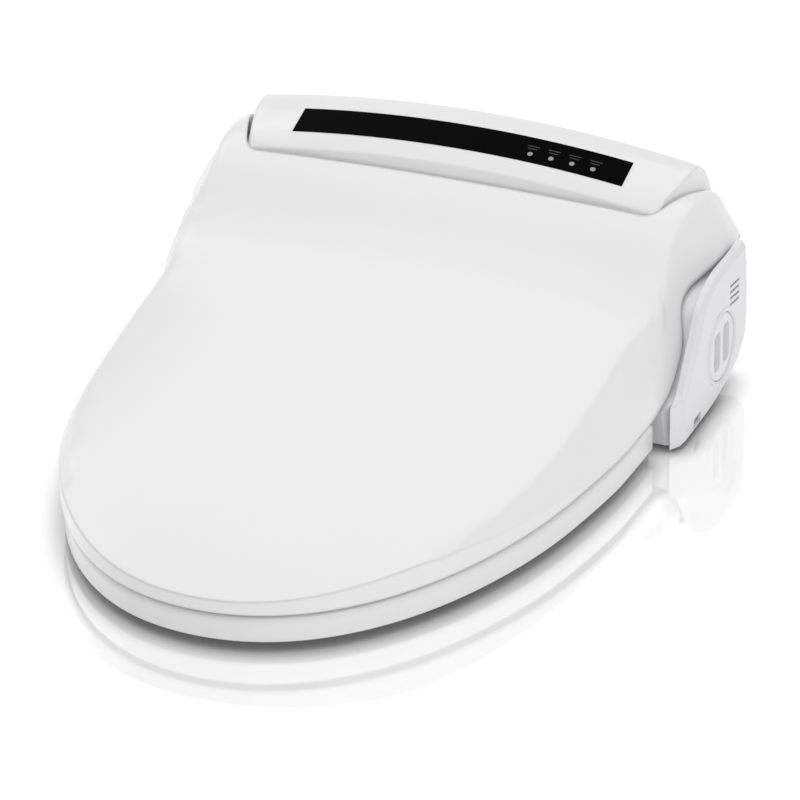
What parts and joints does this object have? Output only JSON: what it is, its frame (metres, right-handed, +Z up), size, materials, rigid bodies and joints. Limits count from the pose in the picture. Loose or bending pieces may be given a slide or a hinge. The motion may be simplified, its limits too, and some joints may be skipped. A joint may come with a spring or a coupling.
{
  "type": "electric bidet seat",
  "caption": "Electric bidet toilet seat: closed lid over a heated ring, rear body with a control bar, wash nozzles, dryer blower and a slide-on mounting plate.",
  "frame": {"origin": "on the bowl's rim plane, under the middle of the whole seat", "axes": "+X to the right of a user who faces the seat from the front, +Y from the front to the rear, +Z up"},
  "size_m": [0.432, 0.532, 0.165],
  "materials": {
    "white_shell": "gloss",
    "white_seat": "gloss",
    "white_body": "gloss",
    "black_window": "gloss",
    "grey_lamp": "satin",
    "grey_rubber": "matte",
    "steel": "satin",
    "grey_plastic": "matte",
    "nozzle_plastic": "satin",
    "nozzle_tip": "gloss",
    "heater_foil": "satin",
    "tank_plastic": "matte",
    "motor_metal": "satin",
    "board_green": "satin",
    "supply_case": "matte",
    "filter_black": "matte",
    "inlet_brass": "satin"
  },
  "bodies": {
    "body": {"base_chassis": "white_body", "upper_casing": "white_body", "control_bar": "white_shell", "display_window": "black_window", "status_lamps": "grey_lamp", "right_side_cover": "white_body", "left_side_cover": "white_body", "drain_plug": "grey_plastic", "filter_cartridge": "filter_black", "nozzle_guide": "grey_plastic", "nozzle_motor": "motor_metal", "water_tank": "tank_plastic", "solenoid_valve": "motor_metal", "water_pump": "motor_metal", "flow_selector": "grey_plastic", "power_supply": "supply_case", "control_board": "board_green", "blower_housing": "grey_plastic", "blower_motor": "motor_metal", "dryer_duct": "grey_plastic", "water_inlet": "inlet_brass", "cord_gland": "grey_plastic", "base_feet": "grey_rubber", "case_screws": "steel", "lid_dampers": "grey_plastic", "seat_dampers": "grey_plastic"},
    "lid": {"lid_shell": "white_shell", "lid_bumpers": "grey_rubber", "lid_hinge_pins": "steel"},
    "seat": {"seat_upper_shell": "white_seat", "seat_lower_shell": "white_seat", "seat_heater": "heater_foil", "seat_bumpers": "grey_rubber", "seat_hinge_pins": "steel"},
    "rear_nozzle": {"rear_nozzle_tube": "nozzle_plastic", "rear_nozzle_tip": "nozzle_tip"},
    "front_nozzle": {"front_nozzle_tube": "nozzle_plastic", "front_nozzle_tip": "nozzle_tip"},
    "cap": {"filter_cap": "white_body"},
    "button": {"release_button": "grey_plastic"},
    "impeller": {"blower_impeller": "grey_plastic"},
    "plate": {"mounting_plate": "grey_plastic"}
  },
  "joints": [
    {"name": "lid_hinge", "type": "hinge", "parent": "body", "child": "lid", "pos_m": [0, 0.251, 0.117], "axis": [-1, 0, 0], "range_deg": [0, 105]},
    {"name": "seat_hinge", "type": "hinge", "parent": "body", "child": "seat", "pos_m": [0, 0.118, 0.052], "axis": [-1, 0, 0], "range_deg": [0, 95]},
    {"name": "rear_nozzle_slide", "type": "slide", "parent": "body", "child": "rear_nozzle", "axis": [0, -0.9063, -0.4226], "range_m": [0, 0.085]},
    {"name": "front_nozzle_slide", "type": "slide", "parent": "body", "child": "front_nozzle", "axis": [0, -0.9063, -0.4226], "range_m": [0, 0.085]},
    {"name": "cap_twist", "type": "hinge", "parent": "body", "child": "cap", "pos_m": [0.212, 0.185, 0.044], "axis": [1, 0, 0], "range_deg": [0, 45]},
    {"name": "release_press", "type": "slide", "parent": "body", "child": "button", "axis": [-1, 0, 0], "range_m": [0, 0.004], "stiffness_N_per_m": 400},
    {"name": "impeller_spin", "type": "hinge", "parent": "body", "child": "impeller", "pos_m": [0.13, 0.19, 0.044], "axis": [1, 0, 0], "continuous": true},
    {"name": "plate_slide", "type": "slide", "parent": "body", "child": "plate", "axis": [0, 1, 0], "range_m": [0, 0.11]}
  ],
  "couplings": [
    {"joint": "seat_hinge", "follows": "lid_hinge", "ratio": 0.9}
  ]
}
